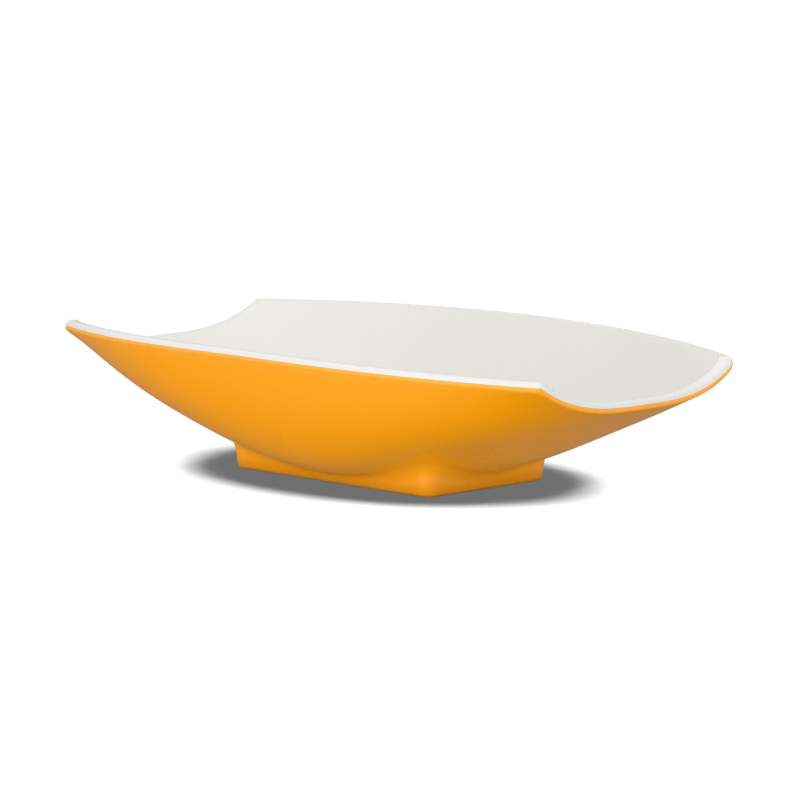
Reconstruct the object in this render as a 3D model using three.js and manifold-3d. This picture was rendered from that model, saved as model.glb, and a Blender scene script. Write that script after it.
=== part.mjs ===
// A two-tone moulded serving bowl: a long bowl with four raised, pointed corners, bowed sides,
// dipping short ends and a rounded-rectangular foot. An orange outer layer carries the foot, and a
// white inner layer lines the bowl and caps the rim. Millimetres, +X along the length, +Z up, origin
// at the middle of the foot's underside.
import * as THREE from "three";
import { mergeVertices } from "three/addons/utils/BufferGeometryUtils.js";
import Module from "manifold-3d";

// Plan of the rim: a rectangle through the four corners, its sides bowed outwards.
const CORNER_X = 176.7;
const CORNER_Y = 70.7;
const SIDE_BOW = 36.3;
const SIDE_BOW_POWER = 2.41;
const END_BOW = 3.3;

// Heights of the outer layer's surface above the table.
const KEEL_HEIGHT = 3.1;
const END_HEIGHT = 51.9;
const SIDE_HEIGHT = 69.4;
const CORNER_HEIGHT = 66.3;
const SIDE_DIP_POWER = 1.5;

// Shape of the bowl's surface: a keel that sweeps up to the ends, sides that turn up from a shallow
// floor and are softer near the ends, and a haunch lifted between the keel and each corner.
const KEEL_POWER = 2.74;
const KEEL_EASE = 0.42;
const MIDDLE_WALL_POWER = 3.86;
const END_WALL_POWER = 3;
const HAUNCH_LIFT = 6.5;

// The rim's corners, rounded in plan: how far each is pulled in, and how far along the edges the
// rounding reaches.
const CORNER_PULL_X = 1;
const CORNER_PULL_Y = 0.7;
const CORNER_REACH = 4.2;

// The two layers and the rim they share. The outer layer rolls out to a lip, widest a little below the
// line where the layers meet, and the white cap leans back from that line to a broadly rounded edge.
const OUTER_LAYER = 2.2;
const INNER_LAYER = 2.6;
const LAYER_GAP = 0.2;
const WALL = OUTER_LAYER + LAYER_GAP + INNER_LAYER;
const OUTER_RIM_RISE = 2.3;
const WHITE_RIM_RISE = 2.8;
const RIM_TOP = OUTER_RIM_RISE + LAYER_GAP + WHITE_RIM_RISE;
const LIP_ROLL = 1;
const LIP_WIDEST = 2 / 3;
const LIP_TOP_INSET = LIP_ROLL * (1 - 1 / LIP_WIDEST) ** 2;
const CAP_TOP_INSET = 0.4;
const RIM_INSIDE = 5;
const OUTER_EDGE_WIDTH = 2;
const OUTER_EDGE_DROP = 2.3;
const INNER_EDGE_WIDTH = 1.2;
const INNER_EDGE_DROP = 0.5;
const LAYER_EDGE_ROUND = 0.2;

// The foot: a drafted rounded rectangle, hollow underneath.
const FOOT_HALF_LENGTH = 72.7;
const FOOT_HALF_WIDTH = 43.4;
const FOOT_CORNER_RADIUS = 6.3;
const FOOT_DRAFT = 0.12;
const FOOT_WALL = 5.4;
const FOOT_INSIDE_DRAFT = 0.03;
const FOOT_EDGE_ROUND = 2;
const FOOT_INSIDE_ROUND = 0.8;
const FILLET_REACH = 6.5;
const FILLET_SHARE = 0.55;
const FILLET_HANDLE = 0.6;
const FOOT_EMBED = 1;

// Facets.
const LENGTH_STEPS = 40;
const WIDTH_STEPS = 26;
const EDGE_GATHER = 0.35;
const ROUND_STEPS = 3;
const FOOT_LENGTH_STEPS = 16;
const FOOT_WIDTH_STEPS = 9;
const FOOT_CORNER_STEPS = 6;
const FILLET_STEPS = 5;
const HEIGHT_SEARCH_STEPS = 12;
const SLOPE_STEP = 0.1;

const ORANGE = 0xf39a1c;
const WHITE = 0xf3f0ea;

// One of the bowl's nested skins: inset from the rim's plan, raised at the keel, and raised at the rim.
function skin(inset, keelRise, rimRise) {
  return { inset, keelRise, rimRise };
}

const LAYER_JOINT_INSET = LIP_ROLL + OUTER_LAYER / 2;
const OUTER_SKIN = skin(LIP_ROLL, 0, 0);
const OUTER_LAYER_INSIDE = skin(LAYER_JOINT_INSET, OUTER_LAYER, OUTER_RIM_RISE);
const INNER_LAYER_OUTSIDE = skin(
  LAYER_JOINT_INSET + LAYER_GAP,
  OUTER_LAYER + LAYER_GAP,
  OUTER_RIM_RISE + LAYER_GAP,
);
const BOWL_INSIDE = skin(RIM_INSIDE, WALL, RIM_TOP - INNER_EDGE_DROP);

const square = (value) => value * value;

// Half the width of the plan at a place along the length.
function halfWidthAt(x, inset) {
  const along = Math.abs(x) / (CORNER_X - inset);
  return CORNER_Y - inset + SIDE_BOW * (1 - along ** SIDE_BOW_POWER);
}

// Height of a skin above the table at a place in plan.
function heightAt(x, y, { inset, keelRise, rimRise }) {
  const along = Math.min(Math.abs(x) / (CORNER_X + END_BOW - inset), 1);
  const across = Math.abs(y) / halfWidthAt(x, inset);
  const keelLow = KEEL_HEIGHT + keelRise;
  const keelHigh = END_HEIGHT + rimRise;
  const sweep = (1 + KEEL_EASE) * along ** KEEL_POWER - KEEL_EASE * along ** (2 * KEEL_POWER);
  const keel = keelLow + (keelHigh - keelLow) * sweep;
  const dip = (SIDE_HEIGHT - CORNER_HEIGHT) * (Math.abs(x) / (CORNER_X - inset)) ** SIDE_DIP_POWER;
  const edge = SIDE_HEIGHT + rimRise - dip;
  const power = MIDDLE_WALL_POWER + (END_WALL_POWER - MIDDLE_WALL_POWER) * along ** 4;
  const haunch = square(Math.sin(Math.PI * along) * Math.sin(Math.PI * across));
  return keel + (edge - keel) * across ** power + HAUNCH_LIFT * haunch;
}

// A point of a skin, with u and v running from -1 to 1 along the length and the width. Close to the rim's
// corners it is pulled in, which rounds them.
function skinPoint(u, v, layer) {
  const endX = CORNER_X - layer.inset + END_BOW * (1 - square(v));
  const sideY = CORNER_Y - layer.inset + SIDE_BOW * (1 - Math.abs(u) ** SIDE_BOW_POWER);
  const x = u * endX;
  const y = v * sideY;
  const toCorner = endX - Math.abs(x) + sideY - Math.abs(y);
  const pull = square(Math.max(0, 1 - toCorner / CORNER_REACH));
  return new THREE.Vector3(
    x - Math.sign(u) * CORNER_PULL_X * pull,
    y - Math.sign(v) * CORNER_PULL_Y * pull,
    heightAt(x, y, layer),
  );
}

// Steps from -1 to 1, gathered towards both ends, where the rim turns its corners.
function stations(steps) {
  return Array.from({ length: steps + 1 }, (_, k) => {
    const even = (2 * k) / steps - 1;
    return even * (1 + EDGE_GATHER * (1 - square(even)));
  });
}

const ALONG = stations(LENGTH_STEPS);
const ACROSS = stations(WIDTH_STEPS);

// The grid of points of a skin, row by row across the bowl.
const skinGrid = (layer) => ALONG.map((u) => ACROSS.map((v) => skinPoint(u, v, layer)));

// The rim as u and v pairs, once round anticlockwise as seen from above.
const RIM = [
  ...ALONG.slice(0, -1).map((u) => [u, -1]),
  ...ACROSS.slice(0, -1).map((v) => [1, v]),
  ...ALONG.slice(1).reverse().map((u) => [u, 1]),
  ...ACROSS.slice(1).reverse().map((v) => [-1, v]),
];

// The edge of a skin, once round.
const skinEdge = (layer) => RIM.map(([u, v]) => skinPoint(u, v, layer));

// A ring parallel to the rim, at an inset in plan and a rise above the edge of the outer skin.
function rimRing(inset, rise) {
  return RIM.map(([u, v]) => {
    const { x, y } = skinPoint(u, v, skin(inset, 0, 0));
    return new THREE.Vector3(x, y, skinPoint(u, v, OUTER_SKIN).z + rise);
  });
}

// Steps round a quarter circle, as [sine, cosine] pairs from the start to the end of the turn.
function quarterTurn(steps) {
  return Array.from({ length: steps + 1 }, (_, k) => {
    const angle = (k / steps) * (Math.PI / 2);
    return [Math.sin(angle), Math.cos(angle)];
  });
}

// Collects triangles, and closes them into one indexed geometry.
class Faces {
  constructor() {
    this.positions = [];
  }

  triangle(a, b, c) {
    for (const point of [a, b, c]) this.positions.push(point.x, point.y, point.z);
  }

  quad(a, b, c, d) {
    this.triangle(a, b, c);
    this.triangle(a, c, d);
  }

  // A sheet over a grid of points, facing up or down.
  sheet(grid, facesUp) {
    for (let i = 0; i + 1 < grid.length; i++) {
      for (let j = 0; j + 1 < grid[i].length; j++) {
        const cell = [grid[i][j], grid[i + 1][j], grid[i + 1][j + 1], grid[i][j + 1]];
        if ((i < LENGTH_STEPS / 2) !== (j < WIDTH_STEPS / 2)) cell.push(cell.shift());
        const [a, b, c, d] = cell;
        if (facesUp) this.quad(a, b, c, d);
        else this.quad(a, d, c, b);
      }
    }
  }

  // A wall between two rings of as many points, facing outwards when the second ring is above the first.
  band(lower, upper) {
    lower.forEach((point, k) => {
      const next = (k + 1) % lower.length;
      this.quad(point, lower[next], upper[next], upper[k]);
    });
  }

  bands(rings) {
    for (let k = 0; k + 1 < rings.length; k++) this.band(rings[k], rings[k + 1]);
  }

  geometry() {
    const geometry = new THREE.BufferGeometry();
    geometry.setAttribute("position", new THREE.Float32BufferAttribute(this.positions, 3));
    return mergeVertices(geometry, 1e-4);
  }
}

// The outer layer without its foot: a skin each side, and a lip that rolls out below the white cap.
function outerLayerGeometry() {
  const lipRise = OUTER_RIM_RISE - LAYER_EDGE_ROUND;
  const rings = [skinEdge(OUTER_SKIN)];
  for (let k = 1; k <= ROUND_STEPS; k++) {
    const climb = k / ROUND_STEPS;
    rings.push(rimRing(LIP_ROLL * square(1 - climb / LIP_WIDEST), lipRise * climb));
  }
  rings.push(rimRing(LIP_TOP_INSET + LAYER_EDGE_ROUND, OUTER_RIM_RISE));
  rings.push(skinEdge(OUTER_LAYER_INSIDE));
  const faces = new Faces();
  faces.sheet(skinGrid(OUTER_SKIN), false);
  faces.bands(rings);
  faces.sheet(skinGrid(OUTER_LAYER_INSIDE), true);
  return faces.geometry();
}

// The inner layer: its rim caps the outer layer, with a rounded edge each side of the land on top.
function innerLayerGeometry() {
  const capBase = OUTER_RIM_RISE + LAYER_GAP;
  const rings = [skinEdge(INNER_LAYER_OUTSIDE)];
  rings.push(rimRing(LIP_TOP_INSET + LAYER_EDGE_ROUND, capBase));
  rings.push(rimRing(LIP_TOP_INSET, capBase + LAYER_EDGE_ROUND));
  for (const [sine, cosine] of quarterTurn(ROUND_STEPS)) {
    const inset = CAP_TOP_INSET + OUTER_EDGE_WIDTH * (1 - cosine);
    rings.push(rimRing(inset, RIM_TOP - OUTER_EDGE_DROP * (1 - sine)));
  }
  for (const [sine, cosine] of quarterTurn(ROUND_STEPS).slice(0, -1)) {
    const inset = RIM_INSIDE - INNER_EDGE_WIDTH * (1 - sine);
    rings.push(rimRing(inset, RIM_TOP - INNER_EDGE_DROP * (1 - cosine)));
  }
  rings.push(skinEdge(BOWL_INSIDE));
  const faces = new Faces();
  faces.sheet(skinGrid(INNER_LAYER_OUTSIDE), false);
  faces.bands(rings);
  faces.sheet(skinGrid(BOWL_INSIDE), true);
  return faces.geometry();
}

// The foot's underside outline: points with their outward directions, once round anticlockwise.
function footOutline() {
  const cornerX = FOOT_HALF_LENGTH - FOOT_CORNER_RADIUS;
  const cornerY = FOOT_HALF_WIDTH - FOOT_CORNER_RADIUS;
  const sideSteps = [FOOT_LENGTH_STEPS, FOOT_WIDTH_STEPS];
  const outline = [];
  for (let corner = 0; corner < 4; corner++) {
    const startAngle = (corner - 1) * (Math.PI / 2);
    const signX = corner < 2 ? 1 : -1;
    const signY = corner === 1 || corner === 2 ? 1 : -1;
    for (let k = 0; k <= FOOT_CORNER_STEPS; k++) {
      const angle = startAngle + (k / FOOT_CORNER_STEPS) * (Math.PI / 2);
      const outward = new THREE.Vector2(Math.cos(angle), Math.sin(angle));
      const centre = new THREE.Vector2(signX * cornerX, signY * cornerY);
      outline.push({ place: centre.addScaledVector(outward, FOOT_CORNER_RADIUS), outward });
    }
    const { place, outward } = outline[outline.length - 1];
    const along = new THREE.Vector2(-outward.y, outward.x);
    const steps = sideSteps[(corner + 1) % 2];
    const length = 2 * (corner % 2 === 0 ? cornerY : cornerX);
    for (let k = 1; k < steps; k++) {
      outline.push({ place: place.clone().addScaledVector(along, (k / steps) * length), outward });
    }
  }
  return outline;
}

// Height of the bowl's outer skin above a place set off outwards from the foot's outline.
function skinAbove({ place, outward }, offset) {
  const at = place.clone().addScaledVector(outward, offset);
  return heightAt(at.x, at.y, OUTER_SKIN);
}

// The fillet between the foot's wall and the bowl: a curve that leaves the wall and runs out along
// the skin.
function filletCurve(spot, meeting) {
  const joint = new THREE.Vector2(FOOT_DRAFT * meeting, meeting);
  const reach = Math.min(FILLET_REACH, FILLET_SHARE * (meeting - FOOT_EDGE_ROUND));
  const upWall = new THREE.Vector2(FOOT_DRAFT, 1).normalize();
  const start = joint.clone().addScaledVector(upWall, -reach);
  const endOffset = joint.x + reach;
  const end = new THREE.Vector2(endOffset, skinAbove(spot, endOffset));
  const rise = (skinAbove(spot, endOffset + SLOPE_STEP) - end.y) / SLOPE_STEP;
  const alongSkin = new THREE.Vector2(1, rise).normalize();
  const handle = FILLET_HANDLE * reach;
  return new THREE.CubicBezierCurve(
    start,
    start.clone().addScaledVector(upWall, handle),
    end.clone().addScaledVector(alongSkin, -handle),
    end,
  );
}

// Section through the foot's wall at one place of its outline, as [offset outwards, height] pairs:
// out along the underside, up the drafted outside, through the fillet into the bowl's wall, and down
// the inside.
function footSection(spot) {
  let meeting = KEEL_HEIGHT;
  for (let k = 0; k < HEIGHT_SEARCH_STEPS; k++) meeting = skinAbove(spot, FOOT_DRAFT * meeting);
  const section = quarterTurn(ROUND_STEPS).map(([sine, cosine]) => [
    -FOOT_EDGE_ROUND * (1 - sine),
    FOOT_EDGE_ROUND * (1 - cosine),
  ]);
  for (const point of filletCurve(spot, meeting).getPoints(FILLET_STEPS)) section.push(point.toArray());
  const [filletEnd] = section[section.length - 1];
  const insideTop = -FOOT_WALL - FOOT_INSIDE_DRAFT * meeting;
  section.push([filletEnd, skinAbove(spot, filletEnd) + FOOT_EMBED]);
  section.push([insideTop, skinAbove(spot, insideTop) + FOOT_EMBED]);
  section.push([-FOOT_WALL, FOOT_INSIDE_ROUND]);
  section.push([-FOOT_WALL + FOOT_INSIDE_ROUND, 0]);
  return section;
}

// The foot: its sections joined round the outline.
function footGeometry() {
  const sections = footOutline().map((spot) =>
    footSection(spot).map(([offset, height]) => {
      const at = spot.place.clone().addScaledVector(spot.outward, offset);
      return new THREE.Vector3(at.x, at.y, height);
    }),
  );
  const faces = new Faces();
  sections.forEach((section, k) => {
    const next = sections[(k + 1) % sections.length];
    section.forEach((point, m) => {
      const after = (m + 1) % section.length;
      faces.quad(point, next[m], next[after], section[after]);
    });
  });
  return faces.geometry();
}

const wasm = await Module();
wasm.setup();

// A closed geometry as a solid for joining.
function solidOf(geometry) {
  return new wasm.Manifold(
    new wasm.Mesh({
      numProp: 3,
      vertProperties: geometry.attributes.position.array,
      triVerts: new Uint32Array(geometry.index.array),
    }),
  );
}

function geometryOf(solid) {
  const { vertProperties, triVerts } = solid.getMesh();
  const geometry = new THREE.BufferGeometry();
  geometry.setAttribute("position", new THREE.BufferAttribute(vertProperties, 3));
  geometry.setIndex(new THREE.BufferAttribute(triVerts, 1));
  return geometry;
}

// A named piece of glossy moulded plastic.
function piece(name, geometry, color) {
  geometry.computeVertexNormals();
  const material = new THREE.MeshStandardMaterial({ color, roughness: 0.28, metalness: 0 });
  const mesh = new THREE.Mesh(geometry, material);
  mesh.name = name;
  return mesh;
}

const outerLayer = solidOf(outerLayerGeometry()).add(solidOf(footGeometry()));
const bowl = new THREE.Group();
bowl.add(piece("outer_shell", geometryOf(outerLayer), ORANGE));
bowl.add(piece("inner_liner", innerLayerGeometry(), WHITE));

export default bowl;
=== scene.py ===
"""A two-tone moulded serving bowl: an orange shell with a hollow foot, lined and capped in white.

Both layers are drawn here as finer surfaces of the CAD part's form, with a closer parting line and a lip
that rolls out half as far. They are in metres, in its frame: +X along the bowl, +Z up, origin at the middle
of the foot's underside.
"""

import math

import bmesh
import bpy
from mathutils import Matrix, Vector


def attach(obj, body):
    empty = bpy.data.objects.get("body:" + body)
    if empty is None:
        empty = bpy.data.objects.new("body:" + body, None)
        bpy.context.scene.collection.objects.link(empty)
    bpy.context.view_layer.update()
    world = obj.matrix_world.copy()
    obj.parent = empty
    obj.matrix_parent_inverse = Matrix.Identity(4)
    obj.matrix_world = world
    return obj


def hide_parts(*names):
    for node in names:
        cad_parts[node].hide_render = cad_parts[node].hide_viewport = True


MM = 0.001

# Plan of the rim: a rectangle through the four corners, its sides bowed outwards (millimetres).
CORNER_X = 176.7
CORNER_Y = 70.7
SIDE_BOW = 36.3
SIDE_BOW_POWER = 2.41
END_BOW = 3.3
CORNER_PULL_X = 1
CORNER_PULL_Y = 0.7
CORNER_REACH = 4.2

# Heights and cross-sections of the shell's outside.
KEEL_HEIGHT = 3.1
END_HEIGHT = 51.9
SIDE_HEIGHT = 69.4
CORNER_HEIGHT = 66.3
SIDE_DIP_POWER = 1.5
KEEL_POWER = 2.74
KEEL_EASE = 0.42
MIDDLE_WALL_POWER = 3.86
END_WALL_POWER = 3
HAUNCH_LIFT = 6.5

# The two layers and the rim they share.
OUTER_LAYER = 2.2
WALL = 5
SEAM = 0.03
SEAM_RISE = 2.4
RIM_TOP = 5.3
LIP_ROLL = 0.5
LIP_WIDEST = 2 / 3
LIP_TOP_INSET = LIP_ROLL * (1 - 1 / LIP_WIDEST) ** 2
CAP_TOP_INSET = 0.4
RIM_INSIDE = 5
OUTER_EDGE_WIDTH = 2
OUTER_EDGE_DROP = 2.3
INNER_EDGE_WIDTH = 1.2
INNER_EDGE_DROP = 0.5
SEAM_EDGE_ROUND = 0.2

# The foot: a drafted rounded rectangle, hollow underneath.
FOOT_HALF_LENGTH = 72.7
FOOT_HALF_WIDTH = 43.4
FOOT_CORNER_RADIUS = 6.3
FOOT_DRAFT = 0.12
FOOT_WALL = 5.4
FOOT_INSIDE_DRAFT = 0.03
FOOT_EDGE_ROUND = 2
FOOT_INSIDE_ROUND = 0.8
FILLET_REACH = 6.5
FILLET_SHARE = 0.55
FILLET_HANDLE = 0.6
RECESS_FILLET = 1.2

# The camera: its direction in degrees, its lens and film in millimetres, and in metres its distance and
# where it aims beside the origin.
VIEW_AZIMUTH = 45.47
VIEW_ELEVATION = 8.95
VIEW_LENS = 203.5
VIEW_FILM = 36
VIEW_DISTANCE = 2.36
AIM_RIGHT = 0.0059
AIM_UP = 0.0384

# Fineness of the drawn surfaces.
LENGTH_STEPS = 132
WIDTH_STEPS = 88
EDGE_GATHER = 0.35
SKIN_ROWS = 64
RECESS_ROWS = 24
ROUND_STEPS = 6
SEAM_ROUND_STEPS = 2
LIP_STEPS = 9
CAP_STEPS = 10
FILLET_STEPS = 12
SEARCH_STEPS = 12
SLOPE_STEP = 0.1
WELD_REACH = 0.002
NORMAL_WEIGHT = 90

# Sizes and depths of the moulded plastic's detail, in metres.
CLOUD_SIZE = 0.07
SPECKLE_SIZE = 0.0011
POLISH_SIZE = 0.03
RIPPLE_SIZE = 0.005
RIPPLE_DEPTH = 0.000003
GRAIN_SIZE = 0.0004
GRAIN_DEPTH = 0.0000003
WEAR_PATCH_SIZE = 0.004
MARK_SIZE = 0.006
MARK_PATCH_SIZE = 0.03

# Directions of the rubbing marks, in radians, and how strong they are.
MARK_TURNS = (0.4, 1.5, 2.6)
MARK_STRENGTH = 0.02

# Strength of the wear in each place, and how far in from the rim's edge it reaches, in millimetres.
LIP_WEAR = 0.5
LIP_WEAR_REACH = 2
LAND_WEAR = 0.5
LAND_WEAR_REACH = 5
BOWL_FLOOR_WEAR = 0.5

# The surroundings, in metres, and how open the floor is where its painted shadow is full and where it ends.
FLOOR_HALF_SIZE = 12
FLOOR_GLOW = 1.05
# The floor's painted shadow: its glow falls to this level where the floor is closed in under the bowl.
PAINTED_SHADOW_GLOW = 0.16
SHADING_REACH = 0.03
SHADING_FULL = 0.5
SHADING_NONE = 0.85
# The patch is painted shade: a dim glowing sheet, hidden from the camera, standing in for the shaded floor
# round the foot as the bowl sees it.
PATCH_HEIGHT = -0.0005
PATCH_REACH = 0.012
PATCH_GLOW = 0.1

# Light from straight above and from the horizon, and broad panels: the azimuth and elevation in degrees that
# each shines from, its strength, and its focus, which is higher for a narrower panel.
ZENITH_LIGHT = 1.22
HORIZON_LIGHT = 0.3
PANELS = [(12, -8, 1.52, 1.8), (112, -8, 0.75, 3), (185, 15, 0.12, 1.5)]


# ---- the bowl's form ----

def skin(inset, keel_rise, rim_rise):
    """One of the bowl's nested skins: inset from the rim's plan, and raised at the keel and at the rim."""
    return {"inset": inset, "keel_rise": keel_rise, "rim_rise": rim_rise}


JOINT_INSET = LIP_ROLL + OUTER_LAYER / 2
OUTER_SKIN = skin(LIP_ROLL, 0, 0)
SHELL_INSIDE = skin(JOINT_INSET, OUTER_LAYER, SEAM_RISE)
LINER_OUTSIDE = skin(JOINT_INSET + SEAM, OUTER_LAYER + SEAM, SEAM_RISE + SEAM)
BOWL_INSIDE = skin(RIM_INSIDE, WALL, RIM_TOP - INNER_EDGE_DROP)


def half_width(x, inset):
    along = abs(x) / (CORNER_X - inset)
    return CORNER_Y - inset + SIDE_BOW * (1 - along**SIDE_BOW_POWER)


def height(x, y, layer):
    """Height of a skin above the table at a place in plan, in millimetres."""
    inset = layer["inset"]
    along = min(abs(x) / (CORNER_X + END_BOW - inset), 1)
    across = abs(y) / half_width(x, inset)
    keel_low = KEEL_HEIGHT + layer["keel_rise"]
    keel_high = END_HEIGHT + layer["rim_rise"]
    sweep = (1 + KEEL_EASE) * along**KEEL_POWER - KEEL_EASE * along ** (2 * KEEL_POWER)
    keel = keel_low + (keel_high - keel_low) * sweep
    dip = (SIDE_HEIGHT - CORNER_HEIGHT) * (abs(x) / (CORNER_X - inset)) ** SIDE_DIP_POWER
    edge = SIDE_HEIGHT + layer["rim_rise"] - dip
    power = MIDDLE_WALL_POWER + (END_WALL_POWER - MIDDLE_WALL_POWER) * along**4
    haunch = (math.sin(math.pi * along) * math.sin(math.pi * across)) ** 2
    return keel + (edge - keel) * across**power + HAUNCH_LIFT * haunch


def reach_in_plan(u, v, inset):
    """How far the plan reaches along the bowl at v across, and across it at u along."""
    end_x = CORNER_X - inset + END_BOW * (1 - v * v)
    side_y = CORNER_Y - inset + SIDE_BOW * (1 - abs(u) ** SIDE_BOW_POWER)
    return end_x, side_y


def skin_point(u, v, layer):
    """A point of a skin, with u and v from -1 to 1 along it and across it, rounded at the corners."""
    end_x, side_y = reach_in_plan(u, v, layer["inset"])
    x, y = u * end_x, v * side_y
    to_corner = end_x - abs(x) + side_y - abs(y)
    pull = max(0.0, 1 - to_corner / CORNER_REACH) ** 2
    pulled_x = x - math.copysign(CORNER_PULL_X * pull, u)
    pulled_y = y - math.copysign(CORNER_PULL_Y * pull, v)
    return Vector((pulled_x, pulled_y, height(x, y, layer))) * MM


def distance_inside_rim(point):
    """How far a point is inside the rim's plan, along the bowl or across it, in millimetres."""
    to_side = half_width(point.x, 0) - abs(point.y)
    to_end = CORNER_X + END_BOW * (1 - (point.y / CORNER_Y) ** 2) - abs(point.x)
    return min(to_side, to_end)


def skin_parameters(x, y, layer):
    """The u and v of a place in plan, away from the corners."""
    u, v = x / CORNER_X, y / (CORNER_Y + SIDE_BOW)
    for _ in range(SEARCH_STEPS):
        end_x, side_y = reach_in_plan(u, v, layer["inset"])
        u, v = x / end_x, y / side_y
    return u, v


def stations(steps):
    """Steps from -1 to 1, gathered towards both ends so that the corners are finely drawn."""
    even = [2 * k / steps - 1 for k in range(steps + 1)]
    return [w * (1 + EDGE_GATHER * (1 - w * w)) for w in even]


ALONG = stations(LENGTH_STEPS)
ACROSS = stations(WIDTH_STEPS)

# The rim as u and v pairs, once round anticlockwise as seen from above.
RIM = [(u, -1) for u in ALONG[:-1]]
RIM += [(1, v) for v in ACROSS[:-1]]
RIM += [(u, 1) for u in reversed(ALONG[1:])]
RIM += [(-1, v) for v in reversed(ACROSS[1:])]


def skin_edge(layer):
    return [skin_point(u, v, layer) for u, v in RIM]


def rim_ring(inset, rise):
    """A ring parallel to the rim, at an inset in plan and a rise above the edge of the shell's outside."""
    ring = []
    for u, v in RIM:
        place = skin_point(u, v, skin(inset, 0, 0))
        place.z = skin_point(u, v, OUTER_SKIN).z + rise * MM
        ring.append(place)
    return ring


def quarter_turn(steps):
    """Sines and cosines of the steps round a quarter circle."""
    angles = [k / steps * math.pi / 2 for k in range(steps + 1)]
    return [(math.sin(a), math.cos(a)) for a in angles]


def curve_points(start, start_handle, end_handle, end):
    """Points along a cubic curve, ends included."""
    points = []
    for k in range(FILLET_STEPS + 1):
        t = k / FILLET_STEPS
        s = 1 - t
        points.append(
            start * s**3 + start_handle * (3 * s * s * t) + end_handle * (3 * s * t * t) + end * t**3
        )
    return points


# ---- the shell and its foot ----

def foot_spot(u, v):
    """A place on the foot's underside outline, with its outward direction, for a place on the rim."""
    place = Vector((u * FOOT_HALF_LENGTH, v * FOOT_HALF_WIDTH))
    limit_x = FOOT_HALF_LENGTH - FOOT_CORNER_RADIUS
    limit_y = FOOT_HALF_WIDTH - FOOT_CORNER_RADIUS
    centre = Vector((max(-limit_x, min(limit_x, place.x)), max(-limit_y, min(limit_y, place.y))))
    outward = (place - centre).normalized()
    return centre + outward * FOOT_CORNER_RADIUS, outward


def skin_above(place, outward, offset):
    at = place + outward * offset
    return height(at.x, at.y, OUTER_SKIN)


def skin_slope(place, outward, offset):
    """Direction along the skin, going outwards, in a section of the foot."""
    rise = skin_above(place, outward, offset + SLOPE_STEP) - skin_above(place, outward, offset)
    return Vector((SLOPE_STEP, rise)).normalized()


def fillet(place, outward, joint, wall, reach, side):
    """A fillet from a wall of the foot into the skin, outwards (side 1) or into the recess (side -1)."""
    start = joint - wall * reach
    end_offset = joint.x + side * reach
    end = Vector((end_offset, skin_above(place, outward, end_offset)))
    along_skin = skin_slope(place, outward, end_offset) * side
    handle = FILLET_HANDLE * reach
    return curve_points(start, start + wall * handle, end - along_skin * handle, end)


def foot_section(place, outward):
    """Section of the foot from the recess's ceiling, down and round the wall, and out along the skin."""
    meeting = KEEL_HEIGHT
    for _ in range(SEARCH_STEPS):
        meeting = skin_above(place, outward, FOOT_DRAFT * meeting)
    inside_offset = -FOOT_WALL - FOOT_INSIDE_DRAFT * meeting
    inside_joint = Vector((inside_offset, skin_above(place, outward, inside_offset)))
    inside_wall = (inside_joint - Vector((-FOOT_WALL, 0))).normalized()
    section = fillet(place, outward, inside_joint, inside_wall, RECESS_FILLET, -1)[::-1]
    for sine, cosine in quarter_turn(ROUND_STEPS):
        inset = FOOT_WALL - FOOT_INSIDE_ROUND * (1 - cosine)
        section.append(Vector((-inset, FOOT_INSIDE_ROUND * (1 - sine))))
    for sine, cosine in quarter_turn(ROUND_STEPS):
        section.append(Vector((-FOOT_EDGE_ROUND * (1 - sine), FOOT_EDGE_ROUND * (1 - cosine))))
    reach = min(FILLET_REACH, FILLET_SHARE * (meeting - FOOT_EDGE_ROUND))
    wall = Vector((FOOT_DRAFT, 1)).normalized()
    joint = Vector((FOOT_DRAFT * meeting, meeting))
    section += fillet(place, outward, joint, wall, reach, 1)
    return section


def foot_rings():
    """Rings from the middle of the recess's ceiling, round the foot's wall, to where it leaves the skin."""
    sections = []
    for u, v in RIM:
        place, outward = foot_spot(u, v)
        sections.append([(place + outward * at.x, at.y) for at in foot_section(place, outward)])
    rings = []
    for row in range(RECESS_ROWS):
        share = row / RECESS_ROWS
        ceiling = [section[0][0] * share for section in sections]
        rings.append([Vector((at.x, at.y, height(at.x, at.y, OUTER_SKIN))) * MM for at in ceiling])
    for points in zip(*sections):
        rings.append([Vector((at.x, at.y, z)) * MM for at, z in points])
    return rings


def skin_rings(first_ring):
    """Rings of the shell's outside, from a ring on it out to the rim."""
    starts = [skin_parameters(at.x / MM, at.y / MM, OUTER_SKIN) for at in first_ring]
    rings = []
    for row in range(1, SKIN_ROWS + 1):
        share = row / SKIN_ROWS
        ring = []
        for (u, v), (rim_u, rim_v) in zip(starts, RIM):
            ring.append(skin_point(u + (rim_u - u) * share, v + (rim_v - v) * share, OUTER_SKIN))
        rings.append(ring)
    return rings


def lip_rings():
    """The shell's rim: a lip that rolls out below the joint with the white cap."""
    lip_rise = SEAM_RISE - SEAM_EDGE_ROUND
    rings = []
    for k in range(1, LIP_STEPS + 1):
        climb = k / LIP_STEPS
        rings.append(rim_ring(LIP_ROLL * (1 - climb / LIP_WIDEST) ** 2, lip_rise * climb))
    for sine, cosine in quarter_turn(SEAM_ROUND_STEPS)[1:]:
        inset = LIP_TOP_INSET + SEAM_EDGE_ROUND * (1 - cosine)
        rings.append(rim_ring(inset, lip_rise + SEAM_EDGE_ROUND * sine))
    return rings


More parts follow.
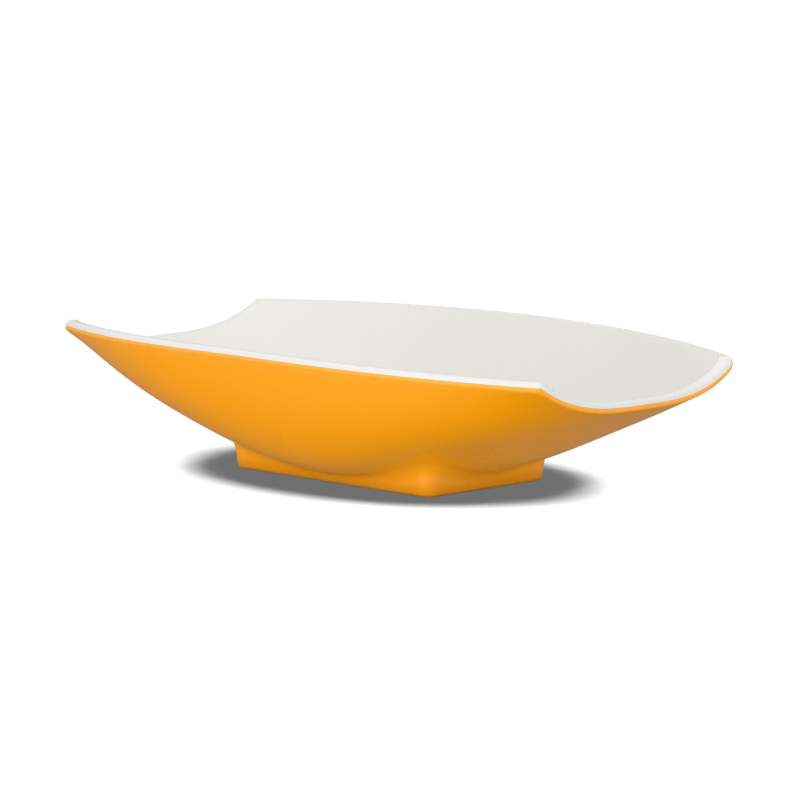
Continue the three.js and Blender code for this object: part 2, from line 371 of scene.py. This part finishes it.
def cap_rings():
    """The liner's rim: an underside on the lip, a rounded outer edge, a land and an inner edge."""
    base = SEAM_RISE + SEAM
    rings = []
    for sine, cosine in quarter_turn(SEAM_ROUND_STEPS):
        inset = LIP_TOP_INSET + SEAM_EDGE_ROUND * (1 - sine)
        rings.append(rim_ring(inset, base + SEAM_EDGE_ROUND * (1 - cosine)))
    for sine, cosine in quarter_turn(CAP_STEPS):
        inset = CAP_TOP_INSET + OUTER_EDGE_WIDTH * (1 - cosine)
        rings.append(rim_ring(inset, RIM_TOP - OUTER_EDGE_DROP * (1 - sine)))
    for sine, cosine in quarter_turn(ROUND_STEPS)[:-1]:
        inset = RIM_INSIDE - INNER_EDGE_WIDTH * (1 - sine)
        rings.append(rim_ring(inset, RIM_TOP - INNER_EDGE_DROP * (1 - cosine)))
    return rings


# ---- meshes ----

def add_sheet(mesh, layer, faces_up):
    rows = [[mesh.verts.new(skin_point(u, v, layer)) for v in ACROSS] for u in ALONG]
    for near, far in zip(rows, rows[1:]):
        for j in range(WIDTH_STEPS):
            corners = [near[j], far[j], far[j + 1], near[j + 1]]
            mesh.faces.new(corners if faces_up else corners[::-1])


def add_bands(mesh, rings):
    """Bands between rings, facing down towards a wider ring, and outwards towards a higher one."""
    made = [[mesh.verts.new(point) for point in ring] for ring in rings]
    for first, second in zip(made, made[1:]):
        for k in range(len(first)):
            after = (k + 1) % len(first)
            mesh.faces.new([first[k], first[after], second[after], second[k]])


def finish_piece(mesh, name, material, node):
    """Welds the mesh, shades it smooth, and puts it in the place of its CAD node."""
    bmesh.ops.remove_doubles(mesh, verts=mesh.verts[:], dist=WELD_REACH * MM)
    for face in mesh.faces:
        face.smooth = True
    data = bpy.data.meshes.new(name)
    mesh.to_mesh(data)
    mesh.free()
    data.materials.append(material)
    piece = bpy.data.objects.new(name, data)
    bpy.context.scene.collection.objects.link(piece)
    normals = piece.modifiers.new("even_normals", "WEIGHTED_NORMAL")
    normals.weight = NORMAL_WEIGHT
    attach(piece, "root")
    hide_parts(node)
    return piece


def make_shell(material):
    mesh = bmesh.new()
    foot = foot_rings()
    add_bands(mesh, foot + skin_rings(foot[-1]) + lip_rings() + [skin_edge(SHELL_INSIDE)])
    add_sheet(mesh, SHELL_INSIDE, faces_up=True)
    return finish_piece(mesh, "orange_shell", material, "outer_shell")


def make_liner(material):
    mesh = bmesh.new()
    add_sheet(mesh, LINER_OUTSIDE, faces_up=False)
    add_bands(mesh, [skin_edge(LINER_OUTSIDE)] + cap_rings() + [skin_edge(BOWL_INSIDE)])
    add_sheet(mesh, BOWL_INSIDE, faces_up=True)
    return finish_piece(mesh, "white_liner", material, "inner_liner")


# ---- materials ----

class Shader:
    """A node tree with short calls for the nodes that the materials share."""

    def __init__(self, tree):
        self.tree = tree
        self.place = tree.nodes.new("ShaderNodeTexCoord").outputs["Object"]

    def link(self, source, target):
        self.tree.links.new(source, target)

    def noise(self, size, detail, stretch=(1, 1, 1), turn=0.0):
        """Noise whose features are about size metres across, from 0 to 1."""
        mapping = self.tree.nodes.new("ShaderNodeMapping")
        mapping.inputs["Rotation"].default_value = (0.3 * turn, 0.2 * turn, turn)
        mapping.inputs["Scale"].default_value = stretch
        self.link(self.place, mapping.inputs["Vector"])
        node = self.tree.nodes.new("ShaderNodeTexNoise")
        node.inputs["Scale"].default_value = 1 / size
        node.inputs["Detail"].default_value = detail
        self.link(mapping.outputs["Vector"], node.inputs["Vector"])
        return node.outputs["Fac"]

    def attribute(self, name):
        node = self.tree.nodes.new("ShaderNodeAttribute")
        node.attribute_name = name
        return node.outputs["Fac"]

    def remap(self, value, low, high, to_low=0.0, to_high=1.0):
        node = self.tree.nodes.new("ShaderNodeMapRange")
        node.inputs["From Min"].default_value = low
        node.inputs["From Max"].default_value = high
        node.inputs["To Min"].default_value = to_low
        node.inputs["To Max"].default_value = to_high
        self.link(value, node.inputs["Value"])
        return node.outputs["Result"]

    def math(self, operation, first, second):
        """Arithmetic on two values, each a number or a socket."""
        node = self.tree.nodes.new("ShaderNodeMath")
        node.operation = operation
        for socket, value in zip(node.inputs, (first, second)):
            if isinstance(value, (int, float)):
                socket.default_value = value
            else:
                self.link(value, socket)
        return node.outputs["Value"]

    def mix(self, share, first, second):
        """Mixes two colours, each a triple or a socket."""
        node = self.tree.nodes.new("ShaderNodeMix")
        node.data_type = "RGBA"
        self.link(share, node.inputs["Factor"])
        for name, value in (("A", first), ("B", second)):
            socket = next(s for s in node.inputs if s.name == name and s.type == "RGBA")
            if isinstance(value, tuple):
                socket.default_value = (*value, 1)
            else:
                self.link(value, socket)
        return next(s for s in node.outputs if s.type == "RGBA")

    def bump(self, value, depth, below=None):
        """Relief of a given depth in metres, on top of another relief."""
        node = self.tree.nodes.new("ShaderNodeBump")
        node.inputs["Distance"].default_value = depth
        self.link(value, node.inputs["Height"])
        if below is not None:
            self.link(below, node.inputs["Normal"])
        return node.outputs["Normal"]

    def hairlines(self, turns):
        """Fine rubbing marks in a few directions, gathered in patches: 1 on a mark and 0 elsewhere."""
        total = 0.0
        for turn in turns:
            streaks = self.noise(MARK_SIZE, 1.0, stretch=(1, 0.04, 1), turn=turn)
            off_line = self.math("ABSOLUTE", self.math("SUBTRACT", streaks, 0.5), 0.0)
            total = self.math("MAXIMUM", self.remap(off_line, 0.004, 0.0), total)
        return self.math("MULTIPLY", total, self.remap(self.noise(MARK_PATCH_SIZE, 3.0), 0.5, 0.65))


def moulded_melamine(name, light, dark, worn):
    """Glossy moulded plastic: faint clouding, speckle, ripple and rubbing marks, and duller wear."""
    material = bpy.data.materials.new(name)
    material.use_nodes = True
    shader = Shader(material.node_tree)
    surface = material.node_tree.nodes["Principled BSDF"]

    clouds = shader.remap(shader.noise(CLOUD_SIZE, 2.0), 0.3, 0.7)
    speckle = shader.remap(shader.noise(SPECKLE_SIZE, 2.0), 0.35, 0.65)
    tone = shader.math("ADD", shader.math("MULTIPLY", clouds, 0.7), shader.math("MULTIPLY", speckle, 0.3))
    patches = shader.remap(shader.noise(WEAR_PATCH_SIZE, 3.0), 0.3, 0.6)
    wear = shader.math("MULTIPLY", shader.attribute("wear"), patches)
    clean = shader.mix(tone, dark, light)
    colour = shader.mix(shader.math("MULTIPLY", wear, 0.6), clean, worn)
    shader.link(colour, surface.inputs["Base Color"])

    marks = shader.math("MULTIPLY", shader.hairlines(MARK_TURNS), MARK_STRENGTH)
    dulling = shader.math("MULTIPLY", shader.math("MAXIMUM", wear, marks), 0.25)
    polish = shader.remap(shader.noise(POLISH_SIZE, 1.0), 0.3, 0.7, 0.26, 0.28)
    shader.link(shader.math("ADD", polish, dulling), surface.inputs["Roughness"])

    ripple = shader.bump(shader.noise(RIPPLE_SIZE, 1.5), RIPPLE_DEPTH)
    grain = shader.bump(shader.noise(GRAIN_SIZE, 2.0), GRAIN_DEPTH, below=ripple)
    shader.link(grain, surface.inputs["Normal"])
    surface.inputs["IOR"].default_value = 1.47
    surface.inputs["Specular IOR Level"].default_value = 0.35
    return material


def orange_melamine():
    light = (0.99, 0.368, 0.002)
    dark = (0.97, 0.355, 0.001)
    worn = (0.92, 0.45, 0.1)
    return moulded_melamine("orange_melamine", light, dark, worn)


def white_melamine():
    light = (0.70, 0.69, 0.658)
    dark = (0.687, 0.675, 0.642)
    worn = (0.66, 0.64, 0.60)
    return moulded_melamine("white_melamine", light, dark, worn)


# ---- wear ----

def mark_wear(piece, strength_at):
    """Writes how worn each point is, from 0 to 1, for the material to use."""
    wear = piece.data.attributes.new("wear", "FLOAT", "POINT")
    wear.data.foreach_set("value", [strength_at(vertex.co / MM) for vertex in piece.data.vertices])


def shell_wear(point):
    """The foot's underside is rubbed by the table, and the edge of the lip by handling."""
    on_foot = 1 - point.z / FOOT_EDGE_ROUND
    on_lip = LIP_WEAR * (1 - distance_inside_rim(point) / LIP_WEAR_REACH)
    return min(1.0, max(0.0, on_foot, on_lip))


def liner_wear(point):
    """The rim's land is handled, and the bowl's floor is scraped by spoons."""
    on_rim = LAND_WEAR * (1 - distance_inside_rim(point) / LAND_WEAR_REACH)
    on_floor = BOWL_FLOOR_WEAR - point.z / SIDE_HEIGHT
    return min(1.0, max(0.0, on_rim, on_floor))


# ---- surroundings ----

def level_sheet(name, half_length, half_width, height):
    """A level rectangle, for the surroundings."""
    corners = [(-half_length, -half_width), (half_length, -half_width)]
    corners += [(half_length, half_width), (-half_length, half_width)]
    data = bpy.data.meshes.new(name)
    data.from_pydata([(x, y, height) for x, y in corners], [], [(0, 1, 2, 3)])
    sheet = bpy.data.objects.new(name, data)
    bpy.context.scene.collection.objects.link(sheet)
    return sheet


def glowing_material(name, glow):
    """A material that gives off a level of white light, together with the socket of that level."""
    material = bpy.data.materials.new(name)
    material.use_nodes = True
    tree = material.node_tree
    emission = tree.nodes.new("ShaderNodeEmission")
    emission.inputs["Color"].default_value = (glow, glow, glow, 1)
    tree.links.new(emission.outputs["Emission"], tree.nodes["Material Output"].inputs["Surface"])
    return material, emission.inputs["Color"]


def make_floor(lit, shaded, shadow_reach):
    """A white floor that lights only the camera's view and not the bowl, with a painted shadow close under
    the bowl.
    """
    floor = level_sheet("floor", FLOOR_HALF_SIZE, FLOOR_HALF_SIZE, 0)
    floor.visible_diffuse = False
    floor.visible_glossy = False
    floor.visible_shadow = False
    material, glow = glowing_material("floor", lit)
    shader = Shader(material.node_tree)
    # Painted shadow: the glow is darkened where ambient occlusion finds the floor closed in under the bowl.
    openness = material.node_tree.nodes.new("ShaderNodeAmbientOcclusion")
    openness.inputs["Distance"].default_value = shadow_reach
    shade = shader.remap(openness.outputs["AO"], SHADING_FULL, SHADING_NONE)
    shader.link(shader.mix(shade, (shaded, shaded, shaded), (lit, lit, lit)), glow)
    floor.data.materials.append(material)


def make_painted_shade_patch(reach, glow):
    """Painted shade: a dim glowing sheet round the foot, hidden from the camera, standing in for the shaded
    floor as the bowl sees it, just under the floor that the camera sees.
    """
    half_length = FOOT_HALF_LENGTH * MM + reach
    half_width = FOOT_HALF_WIDTH * MM + reach
    patch = level_sheet("painted_shade_patch", half_length, half_width, PATCH_HEIGHT)
    patch.visible_camera = False
    patch.data.materials.append(glowing_material("painted_shade_patch", glow)[0])


def direction(azimuth, elevation):
    """A unit vector: azimuth 0 faces the bowl's long side, and 90 its right-hand end."""
    a, e = math.radians(azimuth), math.radians(elevation)
    return Vector((math.sin(a) * math.cos(e), -math.cos(a) * math.cos(e), math.sin(e)))


def make_world(zenith, horizon, panels):
    """Soft studio light: brightest overhead, dark from straight below, with broad panels round the bowl."""
    world = bpy.data.worlds.new("studio")
    world.use_nodes = True
    tree = world.node_tree
    shader = Shader(tree)
    towards = tree.nodes.new("ShaderNodeTexCoord").outputs["Generated"]
    split = tree.nodes.new("ShaderNodeSeparateXYZ")
    shader.link(towards, split.inputs["Vector"])
    above = shader.remap(split.outputs["Z"], 0.0, 1.0, horizon, zenith)
    below = shader.remap(split.outputs["Z"], -1.0, 0.0, -horizon, 0.0)
    level = shader.math("ADD", above, below)
    for azimuth, elevation, strength, focus in panels:
        turned = tree.nodes.new("ShaderNodeVectorMath")
        turned.operation = "DOT_PRODUCT"
        turned.inputs[1].default_value = direction(azimuth, elevation)
        shader.link(towards, turned.inputs[0])
        lobe = shader.math("POWER", shader.math("MAXIMUM", turned.outputs["Value"], 0.0), focus)
        level = shader.math("ADD", level, shader.math("MULTIPLY", lobe, strength))
    background = tree.nodes["Background"]
    background.inputs["Color"].default_value = (1, 1, 1, 1)
    shader.link(level, background.inputs["Strength"])
    bpy.context.scene.world = world


def make_camera():
    """A low view from off one corner, through a long lens."""
    azimuth = math.radians(VIEW_AZIMUTH)
    right = Vector((math.cos(azimuth), math.sin(azimuth), 0))
    back = direction(VIEW_AZIMUTH, VIEW_ELEVATION)
    target = right * AIM_RIGHT + back.cross(right) * AIM_UP
    data = bpy.data.cameras.new("camera")
    data.lens = VIEW_LENS
    data.sensor_width = VIEW_FILM
    camera = bpy.data.objects.new("camera", data)
    camera.location = back * VIEW_DISTANCE
    camera.rotation_mode = "QUATERNION"
    camera.rotation_quaternion = (target - camera.location).to_track_quat("-Z", "Y")
    bpy.context.scene.collection.objects.link(camera)
    bpy.context.scene.camera = camera


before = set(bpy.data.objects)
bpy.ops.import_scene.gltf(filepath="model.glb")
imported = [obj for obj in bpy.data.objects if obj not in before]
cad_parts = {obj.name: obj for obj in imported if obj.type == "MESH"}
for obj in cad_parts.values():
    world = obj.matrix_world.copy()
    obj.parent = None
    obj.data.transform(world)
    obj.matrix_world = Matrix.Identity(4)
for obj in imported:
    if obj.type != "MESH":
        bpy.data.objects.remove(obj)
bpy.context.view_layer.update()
bpy.context.scene.view_settings.view_transform = "Standard"
make_camera()
shell = make_shell(orange_melamine())
liner = make_liner(white_melamine())
mark_wear(shell, shell_wear)
mark_wear(liner, liner_wear)
make_floor(FLOOR_GLOW, PAINTED_SHADOW_GLOW, SHADING_REACH)
make_painted_shade_patch(PATCH_REACH, PATCH_GLOW)
make_world(ZENITH_LIGHT, HORIZON_LIGHT, PANELS)
